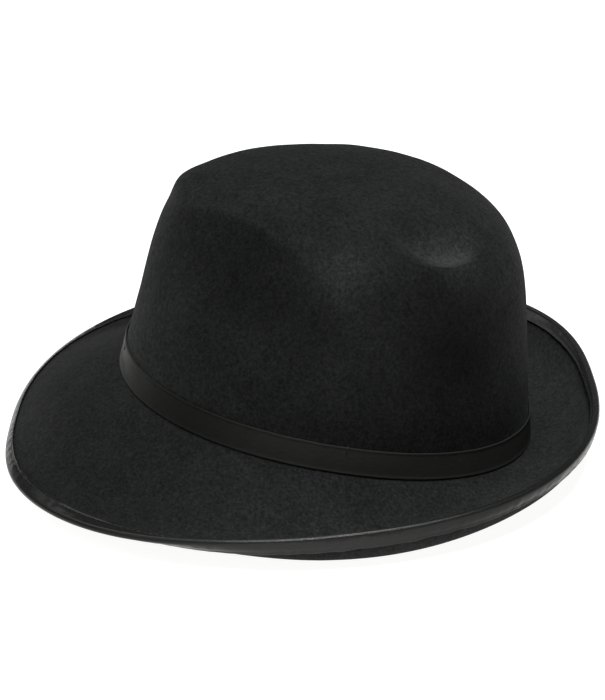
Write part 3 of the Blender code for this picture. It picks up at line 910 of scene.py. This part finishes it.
def make_back_trim(ribbon, cloth):
    """The tape over the sweatband's joint, the small tied bow on it, and the blank size tab."""
    face = SWEATBAND_INSET + SWEATBAND_THICKNESS / 2
    joint = wall_patch("joint_tape", pi, JOINT_TAPE_WIDTH, JOINT_TAPE, face + GAP + CLOTH / 2, ribbon)
    settle(joint, "ribbon", "sweatband_joint_tape")
    set_shade(joint, np.ones(len(joint.data.vertices)))
    tab = wall_patch("blank_size_tab", radians(270), TAB_WIDTH, TAB, face + TAB_STANDOFF, cloth, 0.3 * MM)
    settle(tab, "tab", "size_tab")
    bow = settle(make_bow(face + BOW_STANDOFF, ribbon), "ribbon", "sweatband_bow")
    set_shade(bow, np.ones(len(bow.data.vertices)))


def make_bow(inset, ribbon):
    """A flat bow of narrow ribbon: two soft loops and the knot round their middle."""
    centre = wall(np.array([pi]), [BOW_HEIGHT], inset)[0, 0]
    points, faces = [], []

    def add_strip(path, half_heights):
        ahead = np.gradient(path, axis=0)
        side = np.stack([-ahead[:, 1], ahead[:, 0]], -1)
        side *= BOW_HALF_THICKNESS / np.linalg.norm(side, axis=-1, keepdims=True)
        base = len(points)
        for place, offset, tall in zip(path, side, half_heights):
            for sign, level in ((1, -1), (1, 0), (1, 1), (-1, 1), (-1, 0), (-1, -1)):
                across, depth = place + sign * offset
                points.append(centre + np.array([across, depth, level * tall]))
        for column in range(len(path) - 1):
            for corner in range(6):
                beside = (corner + 1) % 6
                low, high = base + column * 6, base + column * 6 + 6
                faces.append((low + corner, high + corner, high + beside, low + beside))
        faces.append(tuple(base + corner for corner in range(6)))
        faces.append(tuple(base + (len(path) - 1) * 6 + corner for corner in reversed(range(6))))

    shares = np.linspace(0.04, 0.96, 25)
    for sign in (-1, 1):
        out = BOW_LOOP * np.sin(pi * shares) ** 0.75
        depth = -BOW_OPEN * np.sin(tau * shares)
        add_strip(np.stack([sign * out, depth * sign], -1), (1.5 + 1.6 * np.sin(pi * shares)) * MM)
    angles = np.linspace(radians(8), radians(352), 25)
    knot = np.stack([1.5 * MM * np.cos(angles), 1.25 * MM * np.sin(angles)], -1)
    add_strip(knot, np.full(25, 1.9 * MM))
    return mesh_piece("tied_bow", np.array(points), faces, ribbon)


def make_lining(satin):
    """The satin lining: a side eased into soft upright folds, an oval tip, and piping in the seam."""
    turns = along_ring(LINING_COLUMNS)
    start = FELT + GAP + CLOTH / 2
    heights = np.linspace(LINING_BOTTOM, LINING_TOP, 34)
    share = np.clip((heights - LINING_STRAIGHT) / (LINING_TOP - LINING_STRAIGHT), 0, 1)
    insets = start + (LINING_TOP_INSET - start) * share**1.5
    section = strip_section(np.stack([insets, heights], -1), CLOTH)
    rise = np.clip((section[:, 1] - LINING_STRAIGHT) / (LINING_TOP - LINING_STRAIGHT), 0, 1)
    folds = ring_noise(turns, 26, 60, 31)[:, None] * LINING_FOLD * np.sin(pi * rise**0.8)
    swell = ring_noise(turns, 3, 9, 32)[:, None] * LINING_SWELL * np.sin(pi * rise)
    rings = wall(turns, section[:, 1], section[:, 0] + folds + swell)
    side = settle(loft("lining_wall", rings, satin), "lining", "lining_side")
    seam = wall(turns, [LINING_TOP], LINING_TOP_INSET)[:, 0]
    lifted = seam + [0, 0, CLOTH / 2 + GAP + PIPING_RADIUS + PIPING_LIFT]
    piping = loft("tip_piping", tube_rings(lifted, PIPING_RADIUS, 10), satin)
    settle(piping, "lining", "lining_piping")
    outward = head_oval(turns)[1]
    rim = seam - outward * (PIPING_RADIUS + GAP + TIP_MARGIN) + [0, 0, TIP_STEP]
    peak = LINING_TOP + TIP_RISE
    reaches = np.linspace(1.0, 0.0, 31)[:-1]
    columns, faces = [], []
    for turn, point in zip(turns, rim):
        for reach in reaches:
            level = point[2] + (peak - point[2]) * (1 - reach**2)
            pucker = TIP_PUCKER * sin(24 * turn) * max(reach - 0.82, 0) / 0.18
            sag = TIP_SAG * noise.noise(Vector((point[0] * reach, point[1] * reach, 0)) * 40)
            columns.append((point[0] * reach, point[1] * reach, level + pucker + sag))
    rows = len(reaches)
    for column in range(len(turns)):
        near, far = column * rows, (column + 1) % len(turns) * rows
        for row in range(rows - 1):
            faces.append((near + row, far + row, far + row + 1, near + row + 1))
        faces.append((near + rows - 1, far + rows - 1, len(columns)))
    columns.append((0, 0, peak))
    tip = mesh_piece("lining_oval", np.array(columns), faces, satin)
    thickness = tip.modifiers.new("thickness", "SOLIDIFY")
    thickness.thickness = CLOTH
    thickness.offset = 0
    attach(tip, "root")
    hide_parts("lining_tip")
    length = ring_length(wall(turns, [20 * MM], start)[:, 0])


def make_studio():
    """A plain pale floor that glows a little, a pale surround, and soft light from above and the front."""
    bpy.ops.mesh.primitive_plane_add(size=40, location=(0, 0, -0.0004))
    floor = bpy.context.object
    floor.name = "floor"
    paper = Nodes("pale_floor")
    grain = paper.noise(paper.place(), 6, 2, 0.5)
    colour = paper.ramp(grain, (0.32, 0.32, 0.315), (0.34, 0.34, 0.335), 0.3, 0.7)
    glow = {"Emission_Color": (1, 1, 0.99, 1), "Emission_Strength": 0.95}
    finish = paper.finish(Base_Color=colour, Roughness=0.9, Specular_IOR_Level=0.1, **glow)
    floor.data.materials.append(finish)
    world = bpy.data.worlds.new("studio")
    world.use_nodes = True
    world.node_tree.nodes["Background"].inputs["Color"].default_value = (1.0, 1.0, 0.985, 1)
    world.node_tree.nodes["Background"].inputs["Strength"].default_value = 0.04
    bpy.context.scene.world = world
    add_soft_light("overhead", 0, 90, 2.3, 30)
    add_soft_light("key", 75, 60, 0.35, 30)
    add_soft_light("spark", 92, 60, 1.3, 5)
    add_soft_light("rim", 315, 50, 0.7, 30)
    add_soft_light("front", 20, 38, 0.35, 30)
    bpy.context.scene.view_settings.view_transform = "Standard"


def add_soft_light(name, azimuth, elevation, strength, spread):
    """A large lamp far away, at an azimuth counted as for the camera; the spread is its width in degrees."""
    turn, climb = radians(azimuth), radians(elevation)
    toward = Vector((sin(turn) * cos(climb), -cos(turn) * cos(climb), sin(climb)))
    light = bpy.data.lights.new(name, "SUN")
    light.energy = strength
    light.angle = radians(spread)
    lamp = bpy.data.objects.new(name, light)
    lamp.rotation_euler = toward.to_track_quat("Z", "Y").to_euler()
    bpy.context.scene.collection.objects.link(lamp)


def make_camera():
    azimuth, elevation = radians(VIEW_AZIMUTH), radians(VIEW_ELEVATION)
    back = Vector((sin(azimuth) * cos(elevation), -cos(azimuth) * cos(elevation), sin(elevation)))
    lens = bpy.data.cameras.new("view")
    lens.lens = LENS
    lens.sensor_width = SENSOR
    lens.shift_x, lens.shift_y = SHIFT
    lens.clip_start = 0.05
    camera = bpy.data.objects.new("view", lens)
    camera.location = VIEW_TARGET + back * VIEW_DISTANCE
    aim = (-back).to_track_quat("-Z", "Y") @ Quaternion((0, 0, 1), radians(VIEW_ROLL))
    camera.rotation_euler = aim.to_euler()
    bpy.context.scene.collection.objects.link(camera)
    bpy.context.scene.camera = camera


make_camera()
make_studio()
felt_finish = felt_material()
satin_ribbon = ribbon_material("satin_ribbon", (0.0140, 0.0140, 0.0137), 0.24, 0.20)
band_ribbon = ribbon_material("dull_ribbon", (0.0205, 0.0205, 0.0196), 0.36, 0.02)
black_thread = thread_material()
make_felt(felt_finish)
make_binding(satin_ribbon, steel_material(), black_thread)
make_band(band_ribbon, black_thread)
woven_tape = tape_material("woven_tape", (0.010, 0.010, 0.010), (0.022, 0.022, 0.022))
blank_label = tape_material("woven_label", (0.50, 0.50, 0.48), (0.66, 0.66, 0.63))
make_sweatband(leather_material(), plastic_material(), woven_tape, black_thread)
make_back_trim(satin_ribbon, blank_label)
make_lining(satin_material())
